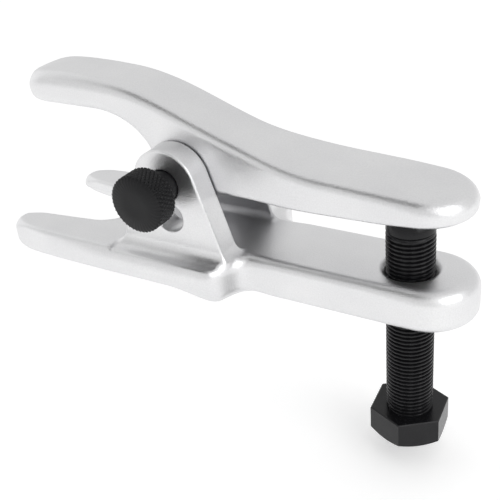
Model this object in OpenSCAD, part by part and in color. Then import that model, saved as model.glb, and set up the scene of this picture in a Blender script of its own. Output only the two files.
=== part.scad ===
// Ball joint separator: a forked lower frame, a lever that rocks on a pin between two ears,
// and a forcing screw that lifts the lever's tail and so drives its jaw down on the ball stud.
// +X runs from the fork to the screw, +Z from the fork to the jaw. The origin is the centre of
// the fork's throat, where the ball stud stands, on the fork's top face.

/* [Layout] */
// Distance from the ball stud to the forcing screw
screw_x = 122; // [115:1:126]
// Distance from the ball stud to the pivot pin
pivot_x = 44; // [43:0.5:45]
// Height of the upper pin holes, which the pin is in
pivot_z = 24.6; // [24:0.1:25]
// Height of the lower pin holes
lower_hole_z = 12.9; // [12.5:0.1:13.2]

/* [Fork and arm] */
// Radius of the fork's throat
throat_r = 12.5; // [11:0.5:14]
// Reach of the prongs in front of the ball stud
prong_reach = 29; // [26:1:32]
// Half the width of the fork
fork_half_w = 29.5; // [28:0.5:31]
// Depth of the prongs
fork_depth = 11; // [10:0.5:12]
// Half the width of the arm
arm_half_w = 16; // [15:0.5:17]
// Depth of the arm
arm_depth = 14.5; // [13:0.5:16]
// Length of the arm behind the screw, before its round end
arm_tail = 6.5; // [5:0.5:10]

/* [Ears] */
// Half the gap between the ears
ear_gap_half = 12.4; // [12.3:0.1:13]
// Thickness of each ear
ear_t = 9.1; // [8:0.1:10]
// Radius of the ears' round tops
ear_r = 12.4; // [12:0.1:13]
// Slope of the ears' edges from the vertical
ear_slope = 18; // [15:1:20]

/* [Lever] */
// Half the width of the jaw and of the web between the ears
jaw_half_w = 12; // [11.5:0.1:12]
// Half the width of the tail
tail_half_w = 15; // [14:0.5:16]
// Height of the jaw's lower face
jaw_z = 43; // [42.5:0.5:44]
// Height of the tail's lower face at the screw
tail_z = 21.2; // [21.2:0.1:22]
// Height of the tail's upper face at its end
tail_top_z = 29.8; // [29:0.2:31]

/* [Screw] */
// Outer radius of the screw thread
screw_r = 7.95; // [7.9:0.01:7.97]
// Size of the hexagon across its flats
hex_flats = 24; // [22:1:27]
// Height of the hexagon
hex_h = 10; // [9:0.5:12]
// Height of the hexagon's seat below the fork's top face
hex_seat_z = -55; // [-60:1:-50]
// Height at which the thread ends and the thrust cap starts
thread_end_z = 13.5; // [12.5:0.5:14]

/* [Pin and knob] */
// Radius of the pivot pin's shank
pin_r = 5.4; // [5.3:0.05:5.45]
// Outer radius of the pin's threaded end
pin_thread_r = 4.95; // [4.9:0.01:4.95]
// Radius of the knurled knob
knob_r = 9.9; // [9:0.1:11]
// Thickness of the knob
knob_t = 9.5; // [8:0.5:11]
// Distance of the knob from the middle of the tool
knob_back_y = 28; // [27:0.5:30]

/* [Hidden] */
$fn = 72;
silver = [0.78, 0.78, 0.79];
black = [0.1, 0.1, 0.11];
through = 60;                          // long enough to pass through any part
screw_clearance = 0.05;                // radial play of the thread envelope
pin_clearance = 0.05;                  // radial play of the pin in the lever and the near ear
mouth_r = 10;                          // widened mouth of the tapped hole
mouth_depth = 1.6;
tip_r = 5.6;                           // round ends of the prongs
tip_y = 20.8;
arm_end_x = screw_x + arm_tail;
arm_fillet = 3;
nose_r = fork_depth / 2;
shoulder_x = 65;                       // where the wide fork block ends
shoulder_run = 6.5;                    // the shoulder's curve starts this far in front of it
crease_inset = 2;                      // the fork's sides lean in this much towards the top
block_end_x = 73;                      // the block ends inside the arm
land_t = 4;                            // upright wall at the throat, above the lead-in
lead_in = 8;                           // width of the slanted face below the throat
throat_flare = 7;                      // angle at which each prong leaves the throat
lower_hole_x = pivot_x + 0.4;
ear_outer_y = ear_gap_half + ear_t;
ledge_drop = 1.1;                      // the ledge beside each ear is milled this deep
ledge_start_x = 21.6;
ledge_end_x = 63;
cove_r = 4.5;                          // where the ledge meets the ear
milled_off = 0.4;                      // taken off each ear's outer face with the ledge
boss_r = 11;
tail_end_x = screw_x + 21;
tail_slope = 0.027;
jaw_tip_x = -25;
play = 0.1;                            // end play of the cap and of the pin's shoulder
shoulder_y = ear_gap_half - play;
pin_end_y = ear_outer_y - 0.5;
knob_spigot_r = 3.5;
knob_spigot_l = 6;
hex_r = hex_flats / 2 / cos(30);
hex_turn = 36.3;                       // the hexagon's position round the screw at rest
cap_r = 8;
cap_tip_r = 4.6;
cap_tip_z = 20.9;
cap_angle = 36;                        // where the cap's shoulder runs into its cone
cap_spigot_r = 4;
cap_spigot_l = 3.5;

function arc(centre, r, from, to, steps = 12) =
    [for (i = [0:steps]) centre + r * [cos(from + (to - from) * i / steps),
                                       sin(from + (to - from) * i / steps)]];

function bezier(a, b, c, d, steps = 14) =
    [for (i = [0:steps]) let (t = i / steps, u = 1 - t)
        u * u * u * a + 3 * u * u * t * b + 3 * u * t * t * c + t * t * t * d];

// Closes a half outline with its mirror image, by changing the sign of its X or its Y
function both_sides(half, flip = [1, -1]) =
    concat(half, [for (i = [len(half) - 1:-1:0]) [flip[0] * half[i][0], flip[1] * half[i][1]]]);

// Extrudes a side view, drawn as X and Z, to both sides of the middle plane
module side_slab(half_w) {
    rotate([90, 0, 0]) linear_extrude(2 * half_w, center = true) children();
}

// A drilling across the tool, from side to side
module cross_hole(x, z, r) {
    translate([x, 0, z]) rotate([90, 0, 0]) cylinder(h = 2 * through, r = r, center = true);
}

// Turns a profile, drawn as radius and distance, about an axis across the tool
module turned_across(x, z) {
    translate([x, 0, z]) rotate([-90, 0, 0]) rotate_extrude() children();
}

module fork_plan() {
    polygon(both_sides(concat(
        arc([-prong_reach + tip_r, tip_y], tip_r, 250, 96),
        bezier([-14, 27.6], [0, 28.6], [12, fork_half_w], [26, fork_half_w], 6),
        bezier([shoulder_x - shoulder_run, fork_half_w], [shoulder_x + 3.5, fork_half_w],
               [shoulder_x - 0.5, arm_half_w - 1.5], [block_end_x, arm_half_w - 1.5], 10))));
}

module fork_side() {
    polygon(concat(
        [[100, 0]],
        arc([-prong_reach + nose_r, -nose_r], nose_r, 90, 270),
        bezier([46, -fork_depth], [53, -fork_depth], [55, -arm_depth], [64, -arm_depth]),
        [[100, -arm_depth]]));
}

// The sides lean in towards the top and the bottom
module fork_section() {
    bulge = fork_half_w + 1;
    foot = fork_half_w - 3;
    polygon([[-fork_half_w + crease_inset, 0], [fork_half_w - crease_inset, 0], [bulge, -4.5],
             [bulge, -7], [foot, -arm_depth], [-foot, -arm_depth], [-bulge, -7], [-bulge, -4.5]]);
}

module fork_block() {
    intersection() {
        translate([0, 0, -through / 2]) linear_extrude(through) fork_plan();
        side_slab(through) fork_side();
        rotate([90, 0, 90]) linear_extrude(4 * through, center = true) fork_section();
    }
}

module arm_section() {
    foot_fillet = arm_fillet + 1;
    polygon(both_sides(concat(
        arc([arm_half_w - foot_fillet, -arm_depth + foot_fillet], foot_fillet, -90, 0, 6),
        arc([arm_half_w - arm_fillet, -arm_fillet], arm_fillet, 0, 90, 6)), [-1, 1]));
}

// A bar with a round end about the screw
module arm() {
    arm_start_x = 62;
    translate([arm_start_x, 0, 0]) rotate([90, 0, 90])
        linear_extrude(arm_end_x - arm_start_x) arm_section();
    translate([arm_end_x, 0, 0]) rotate([0, 0, -90]) rotate_extrude(angle = 180)
        intersection() {
            arm_section();
            translate([0, -through]) square([through, 2 * through]);
        }
}

// The throat's section: an upright land above a slanted lead-in
module throat_section(inner) {
    polygon([[inner, -through], [inner, through], [throat_r, through], [throat_r, -land_t],
             [throat_r + lead_in, -land_t - lead_in], [throat_r + lead_in, -through]]);
}

// The open throat, which widens towards the prongs' tips
module throat() {
    rotate_extrude() throat_section(0);
    for (side = [0, 1]) mirror([0, side, 0]) rotate([90, 0, -90 - throat_flare])
        linear_extrude(through) mirror([1, 0]) throat_section(-throat_r / 2);
}

module ear_side() {
    foot = pivot_z * tan(ear_slope) + ear_r / cos(ear_slope);
    polygon(concat(
        [[pivot_x + foot, 0], [pivot_x + foot - 1, -2], [pivot_x - foot + 1, -2], [pivot_x - foot, 0]],
        arc([pivot_x, pivot_z], ear_r, 180 - ear_slope, ear_slope, 24)));
}

module ears() {
    difference() {
        side_slab(ear_outer_y + milled_off) ear_side();
        side_slab(ear_gap_half) translate([0, -3]) square([100, 60]);
    }
}

// The milled ledge and face on the outside of each ear
module ledges() {
    for (side = [0, 1]) mirror([0, side, 0])
        translate([ledge_start_x, 0, 0]) rotate([90, 0, 90])
            linear_extrude(ledge_end_x - ledge_start_x) polygon(concat(
                arc([ear_outer_y + cove_r, cove_r - ledge_drop], cove_r, 180, 270, 8),
                [[through, -ledge_drop], [through, through], [ear_outer_y, through]]));
}

// Two pairs of holes for the pin: plain in the near ear, tapped in the far ear
module pin_holes() {
    for (place = [[pivot_x, pivot_z], [lower_hole_x, lower_hole_z]])
        translate([place[0], 0, place[1]]) rotate([90, 0, 0]) {
            cylinder(h = through, r = pin_r + pin_clearance);
            translate([0, 0, -through]) cylinder(h = through + 1, r = pin_thread_r + screw_clearance);
        }
}

module lower_frame() {
    color(silver) difference() {
        union() {
            difference() {
                fork_block();
                throat();
            }
            arm();
            ears();
        }
        ledges();
        pin_holes();
        translate([screw_x, 0, -through]) cylinder(h = 2 * through, r = screw_r + screw_clearance);
        translate([screw_x, 0, -mouth_depth])
            cylinder(h = mouth_depth + 0.01, r1 = screw_r, r2 = mouth_r);
    }
}

module lever_side() {
    tail_foot_x = 62;
    foot_z = tail_z - tail_slope * (screw_x - tail_foot_x);
    end_z = tail_z + tail_slope * (tail_end_x - screw_x);
    polygon(concat(
        [[tail_end_x, end_z], [tail_end_x, tail_top_z], [102, tail_top_z + 2.2]],
        bezier([102, tail_top_z + 2.2], [61, 33.5], [42, 52], [14, 54], 18),
        bezier([14, 54], [4, 54.9], [-6, 55.2], [-13, 54.6], 6),
        bezier([-13, 54.6], [-21, 54], [jaw_tip_x, 51.5], [jaw_tip_x, 48.5], 6),
        bezier([jaw_tip_x, 48.5], [jaw_tip_x, 45], [-22, jaw_z], [-17, jaw_z], 6),
        bezier([8, jaw_z], [22, jaw_z], [33, 36], [pivot_x - boss_r, pivot_z]),
        arc([pivot_x, pivot_z], boss_r, 190, 300, 10),
        [[tail_foot_x, foot_z]]));
}

module lever_plan() {
    flare_x = 63;
    polygon(both_sides(concat(
        bezier([jaw_tip_x, 0.5], [jaw_tip_x, 6], [-21, jaw_half_w], [-12, jaw_half_w], 10),
        bezier([flare_x, jaw_half_w], [flare_x + 8, jaw_half_w], [flare_x + 8, tail_half_w],
               [flare_x + 32, tail_half_w], 10),
        arc([tail_end_x - tail_half_w, 0], tail_half_w, 90, 2))));
}

module upper_lever() {
    color(silver) difference() {
        intersection() {
            side_slab(tail_half_w) lever_side();
            linear_extrude(through) lever_plan();
        }
        cross_hole(pivot_x, pivot_z, pin_r + pin_clearance);
    }
}

module forcing_screw() {
    head_z = hex_seat_z - hex_h;
    color(black) translate([screw_x, 0, 0]) {
        intersection() {
            translate([0, 0, head_z]) rotate(hex_turn) cylinder(h = hex_h, r = hex_r, $fn = 6);
            rotate_extrude() polygon([[0, head_z], [hex_r - 1.9, head_z], [hex_r, head_z + 1.2],
                                      [hex_r, hex_seat_z], [0, hex_seat_z]]);
        }
        translate([0, 0, head_z + 1]) cylinder(h = thread_end_z - head_z - 1, r = screw_r);
        translate([0, 0, thread_end_z - 1]) cylinder(h = cap_spigot_l + 1, r = cap_spigot_r);
    }
}

module thrust_cap() {
    cap_base_z = thread_end_z + play;
    color(black) translate([screw_x, 0, 0]) difference() {
        rotate_extrude() polygon(concat(
            [[0, cap_base_z], [cap_r - 0.05, cap_base_z]],
            arc([0, cap_base_z], cap_r - 0.05, 1, cap_angle, 8),
            arc([0, cap_tip_z - cap_tip_r], cap_tip_r, cap_angle, 90, 8)));
        translate([0, 0, cap_base_z - 1])
            cylinder(h = cap_spigot_l + 1.1, r = cap_spigot_r + 0.08);
    }
}

module pivot_pin() {
    color(black) turned_across(pivot_x, pivot_z) polygon([
        [0, -knob_back_y - knob_spigot_l], [knob_spigot_r - 0.02, -knob_back_y - knob_spigot_l],
        [knob_spigot_r - 0.02, -knob_back_y], [pin_r, -knob_back_y],
        [pin_r, shoulder_y], [pin_thread_r, shoulder_y],
        [pin_thread_r, pin_end_y - 0.8], [pin_thread_r - 0.8, pin_end_y], [0, pin_end_y]]);
}

module thumb_knob() {
    edge = 0.9;
    face_y = knob_back_y + knob_t;
    color(black) turned_across(pivot_x, pivot_z) polygon([
        [0, -face_y], [knob_r - edge, -face_y], [knob_r, -face_y + edge],
        [knob_r, -knob_back_y - edge], [knob_r - edge, -knob_back_y],
        [knob_spigot_r, -knob_back_y], [knob_spigot_r, -knob_back_y - knob_spigot_l - 0.2],
        [0, -knob_back_y - knob_spigot_l - 0.2]]);
}

lower_frame();
upper_lever();
forcing_screw();
thrust_cap();
pivot_pin();
thumb_knob();
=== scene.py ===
"""The looks of a ball joint separator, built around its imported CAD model.

The two forgings are skinned from distance functions, so that every edge has its fillet. The
screw has a real thread and the knob a real knurl. Shapes are in millimetres until they are made.
"""
import math

import bpy
import numpy as np
from mathutils import Matrix, Vector


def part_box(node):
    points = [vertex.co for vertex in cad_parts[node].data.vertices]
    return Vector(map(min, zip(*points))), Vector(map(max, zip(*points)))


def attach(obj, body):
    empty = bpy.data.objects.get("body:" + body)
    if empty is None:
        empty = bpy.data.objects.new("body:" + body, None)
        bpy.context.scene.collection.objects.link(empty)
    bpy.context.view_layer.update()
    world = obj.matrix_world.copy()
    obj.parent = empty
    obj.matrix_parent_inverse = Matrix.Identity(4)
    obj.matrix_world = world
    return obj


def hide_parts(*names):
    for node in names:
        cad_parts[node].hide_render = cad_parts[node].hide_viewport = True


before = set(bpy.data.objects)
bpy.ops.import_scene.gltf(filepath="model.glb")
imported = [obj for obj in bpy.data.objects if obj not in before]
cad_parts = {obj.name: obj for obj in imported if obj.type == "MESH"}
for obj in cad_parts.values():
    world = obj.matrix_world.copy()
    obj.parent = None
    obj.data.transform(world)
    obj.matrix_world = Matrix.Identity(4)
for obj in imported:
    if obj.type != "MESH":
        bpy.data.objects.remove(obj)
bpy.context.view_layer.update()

MM = 0.001


# ---------------------------------------------------------------- places, from the frame

def box_mm(node):
    low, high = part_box(node)
    return np.array(low) / MM, np.array(high) / MM


FRAME_LOW, FRAME_HIGH = box_mm("lower_frame")
LEVER_LOW, LEVER_HIGH = box_mm("upper_lever")
SCREW_LOW, SCREW_HIGH = box_mm("forcing_screw")
CAP_LOW, CAP_HIGH = box_mm("thrust_cap")
PIN_LOW, PIN_HIGH = box_mm("pivot_pin")
KNOB_LOW, KNOB_HIGH = box_mm("thumb_knob")

SCREW_X = (SCREW_LOW[0] + SCREW_HIGH[0]) / 2
PIVOT_X = (PIN_LOW[0] + PIN_HIGH[0]) / 2
PIVOT_Z = (PIN_LOW[2] + PIN_HIGH[2]) / 2
PIN_R = (PIN_HIGH[0] - PIN_LOW[0]) / 2
KNOB_R = (KNOB_HIGH[0] - KNOB_LOW[0]) / 2

# the frame forging
THROAT_R = 12.5
FORK_HALF_W = FRAME_HIGH[1]
PRONG_TIP_X = FRAME_LOW[0]
FORK_DEPTH = 11.0
THROAT_LAND = 4.0
ARM_DEPTH = -FRAME_LOW[2]
ARM_HALF_W = 16.0
ARM_END_X = FRAME_HIGH[0]
EAR_GAP_HALF = 12.4
EAR_OUTER_Y = 21.5
EAR_R = FRAME_HIGH[2] - PIVOT_Z
EAR_SLOPE = math.radians(18)
LEDGE_X = (21.6, 63.0)
LEDGE_Z = -1.1
LEDGE_COVE_R = 4.5
LOWER_HOLE = (PIVOT_X + 0.4, PIVOT_Z - 11.7)
SCREW_HOLE_R = 8.0
MOUTH_R = 10.0
MOUTH_DEPTH = 2.0

# the lever forging
WEB_HALF_W = 12.0
TAIL_HALF_W = LEVER_HIGH[1]
TAIL_Z = 21.2
JAW_Z = 43.0

# the screw
PITCH = 1.5
THREAD_R = 7.95
THREAD_DEPTH = 0.82
HEX_FLATS = 24.0
HEX_H = 10.0
HEX_TURN = math.radians(36.3)
HEX_SEAT_Z = SCREW_LOW[2] + HEX_H
THREAD_END_Z = CAP_LOW[2] - 0.1
SCREW_BACKS_OUT = 9.0
FLOOR_Z = SCREW_LOW[2] - SCREW_BACKS_OUT - 0.2

# the pin and its knob
PIN_THREAD_R = 4.95
PIN_THREAD_DEPTH = 0.6
PIN_SHOULDER_Y = 12.3
PIN_PLAY = 0.05
KNOB_T = 9.5

# turns the height above a slope into a true distance
SLOPE_45 = 0.707
SLOPE_HALF = 0.894


# ---------------------------------------------------------------- outlines

def arc(centre, radius, start, end, steps=24):
    """Points on an arc, with its angles in degrees."""
    turns = np.radians(np.linspace(start, end, steps + 1))
    return np.stack([centre[0] + radius * np.cos(turns), centre[1] + radius * np.sin(turns)], 1)


def bezier(a, b, c, d, steps=36):
    t = np.linspace(0, 1, steps + 1)[:, None]
    a, b, c, d = (np.array(p, float) for p in (a, b, c, d))
    return (1 - t) ** 3 * a + 3 * (1 - t) ** 2 * t * b + 3 * (1 - t) * t ** 2 * c + t ** 3 * d


def joined(*runs):
    """One closed outline from runs of points, without doubled points."""
    points = np.concatenate([np.atleast_2d(np.array(run, float)) for run in runs])
    gaps = np.linalg.norm(points - np.roll(points, 1, axis=0), axis=1)
    return points[gaps > 1e-4]


# ---------------------------------------------------------------- distance functions

def outline_distance(u, v, outline):
    """Signed distance from (u, v) to a closed outline, negative inside."""
    nearest = np.inf
    inside = False
    for (au, av), (bu, bv) in zip(outline, np.roll(outline, -1, axis=0)):
        eu, ev = bu - au, bv - av
        pu, pv = u - au, v - av
        along = np.clip((pu * eu + pv * ev) / (eu * eu + ev * ev), 0, 1)
        nearest = np.minimum(nearest, (pu - along * eu) ** 2 + (pv - along * ev) ** 2)
        crosses = (av > v) != (bv > v)
        inside = inside ^ (crosses & (u < au + pv * eu / (ev or 1.0)))
    return np.sqrt(nearest) * np.where(inside, -1.0, 1.0)


def both(a, b, radius):
    """The part in both shapes, with its edge rounded."""
    corner = np.sqrt(np.maximum(a + radius, 0) ** 2 + np.maximum(b + radius, 0) ** 2)
    return np.minimum(np.maximum(a + radius, b + radius), 0) + corner - radius


def either(a, b, radius):
    """The two shapes joined, with a fillet in the corner between them."""
    return -both(-a, -b, radius)


def without(a, b, radius):
    """The first shape less the second, with its edge rounded."""
    return both(a, -b, radius)


def circle_distance(u, v, centre, radius):
    return np.sqrt((u - centre[0]) ** 2 + (v - centre[1]) ** 2) - radius


def between(value, low, high):
    """Distance to a slab."""
    return np.maximum(low - value, value - high)


# ---------------------------------------------------------------- meshes

def skin(distance, low, high, step):
    """Meshes the surface where distance is zero, with one vertex in each cell it crosses."""
    margin = 2.37 * step  # not whole cells, so that no flat face lies on the grid
    axes = [np.arange(a - margin, b + margin, step) for a, b in zip(low, high)]
    field = distance(axes[0][:, None, None], axes[1][None, :, None], axes[2][None, None, :])
    strides = np.array([field.shape[1] * field.shape[2], field.shape[2], 1])
    rings, points = [], []
    for axis in range(3):
        first = field[tuple(slice(0, -1) if k == axis else slice(None) for k in range(3))]
        second = field[tuple(slice(1, None) if k == axis else slice(None) for k in range(3))]
        crossing = np.argwhere((first < 0) != (second < 0))
        a = first[tuple(crossing.T)]
        b = second[tuple(crossing.T)]
        point = crossing.astype(float)
        point[:, axis] += a / (a - b)
        across_1, across_2 = (strides[k] for k in range(3) if k != axis)
        corner = crossing @ strides
        ring = np.stack([corner, corner - across_1, corner - across_1 - across_2,
                         corner - across_2], 1)
        turned = (a >= 0) ^ (axis == 1)
        ring[turned] = ring[turned, ::-1]
        rings.append(ring)
        points.append(np.repeat(point, 4, axis=0))
    rings = np.concatenate(rings)
    points = np.concatenate(points)
    vertex = np.unique(rings.ravel(), return_inverse=True)[1].ravel()
    count = np.bincount(vertex)
    where = np.stack([np.bincount(vertex, points[:, k]) / count for k in range(3)], 1)
    where = where * step + np.array([a[0] for a in axes])
    for _ in range(2):
        where = onto_surface(distance, where)
    return where, vertex.reshape(-1, 4)


def onto_surface(distance, points, nudge=0.02):
    """Moves points along the distance function's slope to where it is zero."""
    here = distance(*points.T)
    slope = np.stack([(distance(*(points + nudge * np.eye(3)[k]).T) - here) / nudge
                      for k in range(3)], 1)
    steepness = np.maximum((slope ** 2).sum(1), 0.25)
    return points - slope * np.clip(here / steepness, -0.4, 0.4)[:, None]


def make(name, points, faces, material, body, crease=None):
    """A mesh object from points in millimetres, riding on a body."""
    mesh = bpy.data.meshes.new(name)
    mesh.from_pydata([tuple(p) for p in np.asarray(points) * MM], [], [tuple(f) for f in faces])
    mesh.validate()
    mesh.shade_smooth()
    if crease:
        mesh.set_sharp_from_angle(angle=math.radians(crease))
    mesh.materials.append(material)
    piece = bpy.data.objects.new(name, mesh)
    bpy.context.scene.collection.objects.link(piece)
    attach(piece, body)
    return piece


def lathe(profile, segments, place):
    """Turns a profile of (radius, height) points. A radius of zero closes an end."""
    turns = np.arange(segments) / segments * 2 * math.pi
    points, faces, rows = [], [], []
    for radius, height in profile:
        if radius < 1e-6:
            rows.append([len(points)] * segments)
            points.append(place(0.0, 0.0, height))
        else:
            rows.append(list(range(len(points), len(points) + segments)))
            points.extend(place(radius * math.cos(t), radius * math.sin(t), height) for t in turns)
    for below, above in zip(rows, rows[1:]):
        for i in range(segments):
            j = (i + 1) % segments
            ring = [below[i], below[j], above[j], above[i]]
            faces.append([v for k, v in enumerate(ring) if v != ring[k - 1]])
    return points, faces


def closed_rings(rings, place):
    """Joins rings of (a, b, height) points, from the lowest up, and closes both ends."""
    count = len(rings[0])
    points = [place(*point) for ring in rings for point in ring]
    low, high = len(points), len(points) + 1
    points.extend([place(0, 0, rings[0][0][2]), place(0, 0, rings[-1][0][2])])
    last = (len(rings) - 1) * count
    faces = []
    for k in range(count):
        j = (k + 1) % count
        faces.append((low, j, k))
        faces.append((high, last + k, last + j))
        for start in range(0, last, count):
            faces.append((start + k, start + j, start + count + j, start + count + k))
    return points, faces


def ring_at(radius, height, segments):
    turns = [2 * math.pi * k / segments for k in range(segments)]
    return [(radius * math.cos(t), radius * math.sin(t), height) for t in turns]


def upright(a, b, height):
    """Places a lathe's point about the screw's axis."""
    return (SCREW_X + a, b, height)


def across(a, b, height):
    """Places a lathe's point about the pivot's axis, with its height along -Y."""
    return (PIVOT_X + a, -height, PIVOT_Z + b)


# ---------------------------------------------------------------- materials

def new_material(name):
    material = bpy.data.materials.new(name)
    material.use_nodes = True
    nodes, links = material.node_tree.nodes, material.node_tree.links
    nodes.clear()
    output = nodes.new("ShaderNodeOutputMaterial")
    shader = nodes.new("ShaderNodeBsdfPrincipled")
    links.new(shader.outputs["BSDF"], output.inputs["Surface"])
    return material, nodes, links, shader


def noise(nodes, links, place, scale, detail):
    """A noise texture, in the object's own coordinates."""
    texture = nodes.new("ShaderNodeTexNoise")
    texture.inputs["Scale"].default_value = scale
    texture.inputs["Detail"].default_value = detail
    links.new(place, texture.inputs["Vector"])
    return texture.outputs["Fac"]


def spread(nodes, links, value, low, high):
    """Maps a value from 0..1 to a range."""
    node = nodes.new("ShaderNodeMapRange")
    node.inputs["To Min"].default_value = low
    node.inputs["To Max"].default_value = high
    links.new(value, node.inputs["Value"])
    return node.outputs["Result"]


def tint(nodes, links, value, dark, light):
    ramp = nodes.new("ShaderNodeValToRGB")
    ramp.color_ramp.elements[0].color = (*dark, 1)
    ramp.color_ramp.elements[1].color = (*light, 1)
    ramp.color_ramp.elements[0].position = 0.3
    ramp.color_ramp.elements[1].position = 0.7
    links.new(value, ramp.inputs["Fac"])
    return ramp.outputs["Color"]


def bump(nodes, links, height, strength, distance):
    node = nodes.new("ShaderNodeBump")
    node.inputs["Strength"].default_value = strength
    node.inputs["Distance"].default_value = distance
    links.new(height, node.inputs["Height"])
    return node.outputs["Normal"]


def fading(nodes, links, value, start, end):
    """Falls smoothly from 1 at start to 0 at end, both in millimetres."""
    node = nodes.new("ShaderNodeMapRange")
    node.interpolation_type = "SMOOTHSTEP"
    node.inputs["From Min"].default_value = start * MM
    node.inputs["From Max"].default_value = end * MM
    node.inputs["To Min"].default_value = 1.0
    node.inputs["To Max"].default_value = 0.0
    links.new(value, node.inputs["Value"])
    return node.outputs["Result"]


def product(nodes, links, *values):
    total = values[0]
    for value in values[1:]:
        node = nodes.new("ShaderNodeMath")
        node.operation = "MULTIPLY"
        links.new(total, node.inputs[0])
        links.new(value, node.inputs[1])
        total = node.outputs["Value"]
    return total


def ear_gap_shade_mask(nodes, links, place):
    """1 where shade is painted on the faces between the ears, and 0 elsewhere on the frame."""
    axes = nodes.new("ShaderNodeSeparateXYZ")
    links.new(place, axes.inputs["Vector"])
    side = nodes.new("ShaderNodeMath")
    side.operation = "ABSOLUTE"
    links.new(axes.outputs["Y"], side.inputs[0])
    inside = fading(nodes, links, side.outputs["Value"], EAR_GAP_HALF + 0.1, EAR_GAP_HALF + 0.5)
    rear = fading(nodes, links, axes.outputs["X"], PIVOT_X + 12, PIVOT_X + 34)
    front = fading(nodes, links, axes.outputs["X"], PIVOT_X - 18, PIVOT_X - 22)
    above = fading(nodes, links, axes.outputs["Z"], -0.5, -1.5)
    return product(nodes, links, inside, rear, front, above)


def satin_steel(name, shade_between_ears=False):
    """A bead-blasted forging with satin plating: a fine grain over faint clouds.

    On the frame, shade is painted onto the faces between its ears, which makes them darker.
    """
    material, nodes, links, shader = new_material(name)
    place = nodes.new("ShaderNodeTexCoord").outputs["Object"]
    cloud = noise(nodes, links, place, scale=45, detail=4)
    grain = noise(nodes, links, place, scale=2000, detail=2)
    speckle = nodes.new("ShaderNodeMix")
    speckle.data_type = "RGBA"
    speckle.blend_type = "MULTIPLY"
    speckle.inputs["Factor"].default_value = 1.0
    links.new(tint(nodes, links, cloud, (0.77, 0.77, 0.78), (0.82, 0.82, 0.825)), speckle.inputs["A"])
    links.new(tint(nodes, links, grain, (0.93, 0.93, 0.93), (1.0, 1.0, 1.0)), speckle.inputs["B"])
    colour = speckle.outputs["Result"]
    if shade_between_ears:
        # painted shade: the colour is multiplied darker between the ears, standing in for the shade
        # there
        painted_shade = nodes.new("ShaderNodeMix")
        painted_shade.data_type = "RGBA"
        painted_shade.blend_type = "MULTIPLY"
        painted_shade.inputs["B"].default_value = (0.66, 0.66, 0.67, 1)
        links.new(ear_gap_shade_mask(nodes, links, place), painted_shade.inputs["Factor"])
        links.new(colour, painted_shade.inputs["A"])
        colour = painted_shade.outputs["Result"]
    links.new(colour, shader.inputs["Base Color"])
    links.new(spread(nodes, links, grain, low=0.28, high=0.39), shader.inputs["Roughness"])
    shader.inputs["Metallic"].default_value = 1.0
    grained = bump(nodes, links, grain, strength=0.5, distance=0.00018)
    links.new(grained, shader.inputs["Normal"])
    return material


def black_oxide(name, roughness, shine, grain_scale):
    """Oiled black oxide: nearly black, with slightly lighter clouds."""
    material, nodes, links, shader = new_material(name)
    place = nodes.new("ShaderNodeTexCoord").outputs["Object"]
    cloud = noise(nodes, links, place, scale=90, detail=4)
    grain = noise(nodes, links, place, scale=grain_scale, detail=2)
    links.new(tint(nodes, links, cloud, (0.004, 0.004, 0.005), (0.009, 0.009, 0.01)),
              shader.inputs["Base Color"])
    links.new(spread(nodes, links, grain, roughness - 0.06, roughness + 0.06),
              shader.inputs["Roughness"])
    shader.inputs["Metallic"].default_value = 0.0
    shader.inputs["Specular IOR Level"].default_value = shine
    grained = bump(nodes, links, grain, strength=0.1, distance=0.00005)
    links.new(grained, shader.inputs["Normal"])
    return material


# the frame's steel carries the painted shade between its ears
FRAME_STEEL = satin_steel("satin_steel_shaded_between_ears", shade_between_ears=True)
LEVER_STEEL = satin_steel("satin_steel")
BLACK_SCREW = black_oxide("black_screw", roughness=0.24, shine=0.28, grain_scale=2200)
BLACK_PIN = black_oxide("black_pin", roughness=0.46, shine=0.25, grain_scale=1800)


# ---------------------------------------------------------------- the frame forging

def body_plan():
    """Half of the fork's and the arm's plan, on the +Y side, closed along the middle."""
    tip_r = 5.6
    tip = (PRONG_TIP_X + tip_r, 20.6)
    arm_end = (ARM_END_X - ARM_HALF_W, 0)
    return joined(
        [(PRONG_TIP_X, -6)],
        arc(tip, tip_r, 180, 96),
        bezier((-14, 27.6), (0, 28.6), (12, FORK_HALF_W), (26, FORK_HALF_W)),
        bezier((58.5, FORK_HALF_W), (68.5, FORK_HALF_W), (64.5, ARM_HALF_W), (73, ARM_HALF_W)),
        arc(arm_end, ARM_HALF_W, 90, 0, 60),
        [(ARM_END_X, -6)])


def body_side():
    return joined(
        [(ARM_END_X + 20, 0), (PRONG_TIP_X - 20, 0), (PRONG_TIP_X - 20, -FORK_DEPTH)],
        bezier((44, -FORK_DEPTH), (53, -FORK_DEPTH), (55, -ARM_DEPTH), (64, -ARM_DEPTH)),
        [(ARM_END_X + 20, -ARM_DEPTH)])


def ear_side():
    foot = PIVOT_Z * math.tan(EAR_SLOPE) + EAR_R / math.cos(EAR_SLOPE)
    slope = math.degrees(EAR_SLOPE)
    return joined(
        [(PIVOT_X + foot, 0), (PIVOT_X + foot - 6, -6)],
        [(PIVOT_X - foot + 5, -6), (PIVOT_X - foot, 0)],
        arc((PIVOT_X, PIVOT_Z), EAR_R, 180 - slope, slope, 60))


BODY_PLAN = body_plan()
BODY_SIDE = body_side()
EAR_SIDE = ear_side()
PRONG_FLARE = math.radians(7)


def ramp(value, start, end):
    """Rises smoothly from 0 at start to 1 at end."""
    t = np.clip((value - start) / (end - start), 0, 1)
    return t * t * (3 - 2 * t)


def tip_rounding(x):
    """Extra rounding of every edge at the prongs' tips."""
    return 2.9 * (1 - ramp(x, -29, -19))


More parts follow.
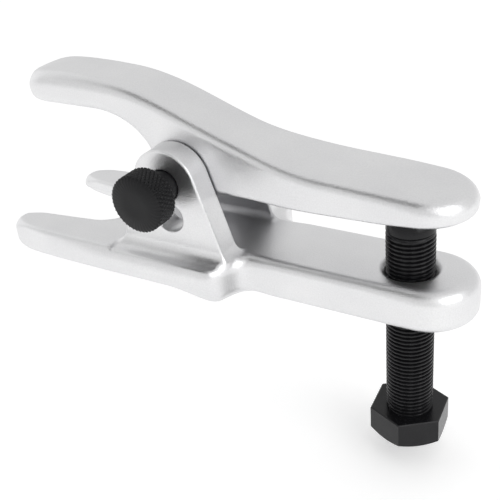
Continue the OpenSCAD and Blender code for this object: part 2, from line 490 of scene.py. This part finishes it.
def body_edge_radius(x, z):
    """Crisp edges along the fork, then a soft shoulder and arm, softest on top of the arm's end."""
    fork = 1.3 + tip_rounding(x)
    arm = 2.9 * ramp(x, 52, 64) - 0.8 * ramp(x, 70, 80)
    arm_end_top = 1.6 * ramp(x, 108, 136) * ramp(z, -12, -5)
    return fork + arm + arm_end_top


def body_distance(x, y, z):
    """The fork and the arm. The fork's sides lean in towards its top and its bottom."""
    top_half_w = FORK_HALF_W - 2
    crease_half_w = FORK_HALF_W + 0.8
    crease_z = -7
    side = np.abs(y)
    plan = outline_distance(x, side, BODY_PLAN)
    depth = outline_distance(x, z, BODY_SIDE)
    upper = (side - top_half_w + z * 0.5) * SLOPE_HALF
    lower = (side - crease_half_w - (z - crease_z) * 0.5) * SLOPE_HALF
    body = both(plan, depth, body_edge_radius(x, z))
    body = both(body, upper, 0.9)
    return both(body, lower, 2.5)


def throat_distance(x, y, z):
    """The open throat, widening towards the tips and towards the underside."""
    side = np.abs(y)
    radial = np.sqrt(x * x + y * y)
    beside = side * math.cos(PRONG_FLARE) + x * math.sin(PRONG_FLARE)
    beyond = x * math.cos(PRONG_FLARE) - side * math.sin(PRONG_FLARE)
    span = np.where(beyond < 0, beside, radial)
    upright_wall = span - THROAT_R
    lead_in = (span - THROAT_R + (z + THROAT_LAND)) * SLOPE_45
    return np.minimum(upright_wall, lead_in)


def ear_distance(x, y, z):
    outline = outline_distance(x, z, EAR_SIDE)
    thickness = between(np.abs(y), EAR_GAP_HALF, EAR_OUTER_Y)
    return both(outline, thickness, 0.5)


def ledge_distance(x, y, z):
    """The milled ledge outside each ear, with a cove along the ear and a sloping front end."""
    start_x, end_x = LEDGE_X
    cove = both(EAR_OUTER_Y - np.abs(y), LEDGE_Z - z, LEDGE_COVE_R)
    start = (start_x - x - (z - LEDGE_Z)) * SLOPE_45
    return np.maximum(cove, np.maximum(start, x - end_x))


def pin_holes_distance(x, y, z):
    """Two holes in each ear: plain in the near one, and tapped smaller in the far one."""
    radius = np.where(y < 0, PIN_R, PIN_THREAD_R) + PIN_PLAY
    upper = circle_distance(x, z, (PIVOT_X, PIVOT_Z), radius)
    lower = circle_distance(x, z, LOWER_HOLE, radius)
    return np.minimum(upper, lower)


def frame_distance(x, y, z):
    throat_edge = 1.2 + tip_rounding(x)
    ear_fillet = 3.0
    milled_edge = 0.4
    drilled_edge = 0.3
    body = without(body_distance(x, y, z), throat_distance(x, y, z), throat_edge)
    body = either(body, ear_distance(x, y, z), ear_fillet)
    body = without(body, ledge_distance(x, y, z), milled_edge)
    body = without(body, pin_holes_distance(x, y, z), milled_edge)
    from_screw = circle_distance(x, y, (SCREW_X, 0), 0)
    body = without(body, from_screw - SCREW_HOLE_R, drilled_edge)
    mouth = (from_screw - MOUTH_R - z) * SLOPE_45
    return without(body, np.maximum(mouth, -MOUTH_DEPTH - z), drilled_edge)


# ---------------------------------------------------------------- the lever forging

def lever_side():
    """The lever from its side. The tail runs on, and the plan ends it."""
    beyond_x = LEVER_HIGH[0] + 20
    beyond_top_z = 28.6
    foot_x = 62
    slope = 0.027
    foot_z = TAIL_Z - slope * (SCREW_X - foot_x)
    beyond_z = TAIL_Z + slope * (beyond_x - SCREW_X)
    tip_x = LEVER_LOW[0]
    boss_r = 11
    return joined(
        [(beyond_x, beyond_z), (beyond_x, beyond_top_z)],
        bezier((102, 32), (61, 33.5), (42, 52), (14, 54)),
        bezier((14, 54), (4, 54.9), (-6, 55.2), (-13, 54.6)),
        bezier((-13, 54.6), (-21, 54), (tip_x, 51.5), (tip_x, 48.5)),
        bezier((tip_x, 48.5), (tip_x, 45), (-22, JAW_Z), (-17, JAW_Z)),
        bezier((8, JAW_Z), (22, JAW_Z), (33, 36), (PIVOT_X - boss_r, PIVOT_Z)),
        arc((PIVOT_X, PIVOT_Z), boss_r, 190, 290),
        [(foot_x, foot_z)])


def lever_plan():
    """Half of the lever's plan, on the +Y side, closed along the middle."""
    tip_x, tail_x = LEVER_LOW[0], LEVER_HIGH[0]
    return joined(
        [(tip_x, -6)],
        bezier((tip_x, 0), (tip_x, 6), (-21, WEB_HALF_W), (-12, WEB_HALF_W)),
        bezier((62, WEB_HALF_W), (74, WEB_HALF_W), (80, TAIL_HALF_W), (98, TAIL_HALF_W)),
        arc((tail_x - TAIL_HALF_W, 0), TAIL_HALF_W, 90, 0),
        [(tail_x, -6)])


LEVER_SIDE = lever_side()
LEVER_PLAN = lever_plan()


def lever_edge_radius(x, z):
    """Softest on top of the jaw and at the tail's end, and crisp under the tail."""
    jaw_top = 1.6 * ramp(z, 44, 51) * (1 - ramp(x, -5, 45))
    tail_under = 2.2 * ramp(x, 56, 66) * (1 - ramp(z, TAIL_Z + 1.5, TAIL_Z + 5))
    tail_end = 1.6 * ramp(x, 114, 138)
    return 3.4 + jaw_top - tail_under + tail_end


def lever_distance(x, y, z):
    side_view = outline_distance(x, z, LEVER_SIDE)
    plan = outline_distance(x, np.abs(y), LEVER_PLAN)
    body = both(side_view, plan, lever_edge_radius(x, z))
    hole = circle_distance(x, z, (PIVOT_X, PIVOT_Z), PIN_R + PIN_PLAY)
    return without(body, hole, 0.3)


def build_forgings():
    step = 0.6
    points, faces = skin(frame_distance, FRAME_LOW, FRAME_HIGH, step)
    forging = make("frame_forging", points, faces, FRAME_STEEL, "frame")
    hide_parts("lower_frame")
    points, faces = skin(lever_distance, LEVER_LOW, LEVER_HIGH, step)
    forging = make("lever_forging", points, faces, LEVER_STEEL, "lever")
    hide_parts("upper_lever")


# ---------------------------------------------------------------- the screw, the cap and the pin

def thread_rings(radius, depth, low, high, segments=72, rows_per_turn=14):
    """Rings along a right-hand thread, which fades out at its upper end."""
    crest = 0.28  # share of the pitch that is left at the full radius
    flank = 0.5   # share of the pitch that the two flanks take up
    rows = int((high - low) / PITCH * rows_per_turn)
    turned_down = 0.2 * depth
    rings = []
    for row in range(rows + 1):
        height = low + (high - low) * row / rows
        fade = min((high - height) / PITCH, 1)
        ring = []
        for k in range(segments):
            turn = 2 * math.pi * k / segments
            wave = abs(2 * ((height / PITCH - turn / (2 * math.pi)) % 1.0) - 1)
            groove = depth * min(max((wave - crest) / flank, 0), 1)
            r = radius - groove * fade - turned_down * (1 - fade)
            ring.append((r * math.cos(turn), r * math.sin(turn), height))
        rings.append(ring)
    return rings


def hexagon_rings():
    """The hexagon, with its lower corners turned off at 30 degrees and a small bevel on top."""
    segments = 48
    apothem = HEX_FLATS / 2
    chamfer_r = apothem * 0.97
    bevel = 0.35
    low, high = SCREW_LOW[2], HEX_SEAT_Z
    rings = [[], [], [], []]
    for k in range(segments):
        turn = 2 * math.pi * k / segments
        from_flat = (turn + math.pi / 6) % (math.pi / 3) - math.pi / 6
        edge = apothem / math.cos(from_flat)
        turned_off = max((edge - chamfer_r) * math.tan(math.radians(30)), 0)
        angle = turn + HEX_TURN + math.pi / 6
        corners = [(chamfer_r, low), (edge, low + turned_off), (edge, high - bevel),
                   (edge - bevel, high)]
        for ring, (radius, height) in zip(rings, corners):
            ring.append((radius * math.cos(angle), radius * math.sin(angle), height))
    return rings


def build_screw():
    shank = thread_rings(THREAD_R, THREAD_DEPTH, HEX_SEAT_Z, THREAD_END_Z)
    points, faces = closed_rings(shank, upright)
    head_points, head_faces = closed_rings(hexagon_rings(), upright)
    faces.extend(tuple(v + len(points) for v in face) for face in head_faces)
    points.extend(head_points)
    screw = make("forcing_screw_threaded", points, faces, BLACK_SCREW, "screw",
                 crease=35)
    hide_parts("forcing_screw")


def build_cap():
    base, tip = CAP_LOW[2], CAP_HIGH[2]
    dome = bezier((THREAD_R, base + 0.3), (THREAD_R - 0.15, base + 3.4), (5.6, tip), (0, tip), 40)
    profile = [(0, base), (THREAD_R - 0.3, base)] + [tuple(p) for p in dome]
    points, faces = lathe(profile, 96, upright)
    cap = make("thrust_cap_domed", points, faces, BLACK_SCREW, "cap",
               crease=40)
    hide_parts("thrust_cap")


def ridge(value):
    """A wave of straight slopes between 0 and 1."""
    return 1 - abs(2 * (value % 1.0) - 1)


def knurled_rings(low, high, around, groove):
    """Rings up the knob's rim, with crossed spiral grooves."""
    rows = 44
    points_per_ridge = 8
    groove_slant = 0.6
    steepness = 1.6
    segments = around * points_per_ridge
    pitch = 2 * math.pi * KNOB_R / around
    rings = []
    for row in range(rows + 1):
        height = low + (high - low) * row / rows
        shift = height / pitch * groove_slant
        ring = []
        for k in range(segments):
            turn = 2 * math.pi * k / segments
            along = k / points_per_ridge
            lowest = min(ridge(along + shift), ridge(along - shift))
            radius = KNOB_R - groove * (1 - min(lowest * steepness, 1))
            ring.append((radius * math.cos(turn), radius * math.sin(turn), height))
        rings.append(ring)
    return rings


def build_knob():
    around = 42
    groove = 0.5
    bevel = 0.9
    face = -KNOB_LOW[1]
    back = face - KNOB_T
    end_r = KNOB_R - bevel - groove
    rim = knurled_rings(back + bevel, face - bevel, around, groove)
    segments = len(rim[0])
    rings = [ring_at(PIN_R - 0.8, back, segments), ring_at(end_r, back, segments)] + rim
    rings += [ring_at(end_r, face, segments), ring_at(KNOB_R * 0.4, face, segments)]
    points, faces = closed_rings(rings, across)
    knob = make("thumb_knob_knurled", points, faces, BLACK_PIN, "knob",
                crease=50)
    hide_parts("thumb_knob")


def build_pin():
    """A plain shank with a shoulder, and a threaded end with a bevel."""
    end = -PIN_HIGH[1]
    shoulder = -PIN_SHOULDER_Y
    knob_back = -KNOB_LOW[1] - KNOB_T
    root_r = PIN_THREAD_R - PIN_THREAD_DEPTH
    thread = thread_rings(PIN_THREAD_R, PIN_THREAD_DEPTH, end + 0.8, shoulder)
    segments = len(thread[0])
    shank = [(PIN_R - 0.4, shoulder), (PIN_R, shoulder + 0.4), (PIN_R, knob_back - 0.4),
             (PIN_R - 0.3, knob_back)]
    rings = [ring_at(root_r - 0.3, end, segments)] + thread
    rings += [ring_at(radius, height, segments) for radius, height in shank]
    points, faces = closed_rings(rings, across)
    pin = make("pivot_pin_turned", points, faces, BLACK_PIN, "pin",
               crease=30)
    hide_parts("pivot_pin")


build_forgings()
build_screw()
build_cap()
build_knob()
build_pin()


# ---------------------------------------------------------------- floor, light and camera

def build_floor():
    material, nodes, links, shader = new_material("pale_floor")
    place = nodes.new("ShaderNodeTexCoord").outputs["Object"]
    cloud = noise(nodes, links, place, scale=3, detail=3)
    links.new(tint(nodes, links, cloud, (0.86, 0.86, 0.86), (0.9, 0.9, 0.9)),
              shader.inputs["Base Color"])
    shader.inputs["Roughness"].default_value = 0.8
    shader.inputs["Emission Color"].default_value = (1, 1, 1, 1)
    shader.inputs["Emission Strength"].default_value = 0.30
    level = FLOOR_Z * MM
    size = 4.0
    mesh = bpy.data.meshes.new("floor")
    mesh.from_pydata([(-size, -size, level), (size, -size, level), (size, size, level),
                      (-size, size, level)], [], [(0, 1, 2, 3)])
    mesh.materials.append(material)
    floor = bpy.data.objects.new("floor", mesh)
    bpy.context.scene.collection.objects.link(floor)


def hang(light, place, target):
    """Puts a light in the scene, pointed at a target."""
    lamp = bpy.data.objects.new(light.name, light)
    lamp.location = place
    lamp.rotation_mode = "QUATERNION"
    lamp.rotation_quaternion = (Vector(target) - Vector(place)).to_track_quat("-Z", "Y")
    bpy.context.scene.collection.objects.link(lamp)


def softbox(name, place, target, width, power):
    light = bpy.data.lights.new(name, "AREA")
    light.shape = "RECTANGLE"
    light.size = width
    light.size_y = width
    light.energy = power
    hang(light, place, target)


def pool_of_light(place, target, power):
    """A spot on the floor, which the rounded ends of the tail and the arm reflect."""
    light = bpy.data.lights.new("pool", "SPOT")
    light.energy = power
    light.spot_size = math.radians(9)
    light.spot_blend = 1.0
    light.shadow_soft_size = 0.05
    hang(light, place, target)


def build_light():
    """A pale tent with a dark patch overhead, two softboxes and a pool of light on the floor."""
    world = bpy.data.worlds.new("studio")
    world.use_nodes = True
    nodes, links = world.node_tree.nodes, world.node_tree.links
    direction = nodes.new("ShaderNodeTexCoord").outputs["Generated"]
    facing = nodes.new("ShaderNodeVectorMath")
    facing.operation = "DOT_PRODUCT"
    facing.inputs[1].default_value = Vector((-0.2, -0.48, 0.85)).normalized()
    links.new(direction, facing.inputs[0])
    shade = nodes.new("ShaderNodeMapRange")
    shade.interpolation_type = "SMOOTHSTEP"
    shade.inputs["From Min"].default_value = 0.93
    shade.inputs["From Max"].default_value = 0.98
    shade.inputs["To Min"].default_value = 0.82
    shade.inputs["To Max"].default_value = 0.05
    links.new(facing.outputs["Value"], shade.inputs["Value"])
    links.new(shade.outputs["Result"], nodes["Background"].inputs["Strength"])
    nodes["Background"].inputs["Color"].default_value = (1, 1, 1, 1)
    bpy.context.scene.world = world
    middle = (0.06, 0, 0)
    softbox("right", place=(1.6, -0.5, 0.9), target=middle, width=1.2, power=9)
    softbox("left", place=(-1.7, 0.1, 0.7), target=middle, width=1.6, power=2)
    pool_of_light(place=(0.5, -0.55, 0.5), target=(0.22, -0.1, FLOOR_Z * MM), power=2.5)


def build_camera():
    """Looks down at the knob's side from beyond the screw."""
    place = Vector((0.21455, -0.23445, 0.14881))
    turn, pitch, roll = (math.radians(a) for a in (33.13, 29.13, -5.25))
    along = Vector((math.cos(turn), math.sin(turn), 0))
    ahead = Vector((-math.sin(turn), math.cos(turn), 0))
    up = Vector((0, 0, 1))
    look = ahead * math.cos(pitch) - up * math.sin(pitch)
    tilted = ahead * math.sin(pitch) + up * math.cos(pitch)
    right = along * math.cos(roll) + tilted * math.sin(roll)
    above = -along * math.sin(roll) + tilted * math.cos(roll)
    data = bpy.data.cameras.new("camera")
    data.sensor_width = 36
    data.lens = 64.93
    camera = bpy.data.objects.new("camera", data)
    turned = Matrix((right, above, -look)).transposed().to_4x4()
    camera.matrix_world = Matrix.Translation(place) @ turned
    bpy.context.scene.collection.objects.link(camera)
    bpy.context.scene.camera = camera


build_floor()
build_light()
build_camera()
bpy.context.scene.view_settings.view_transform = "Standard"
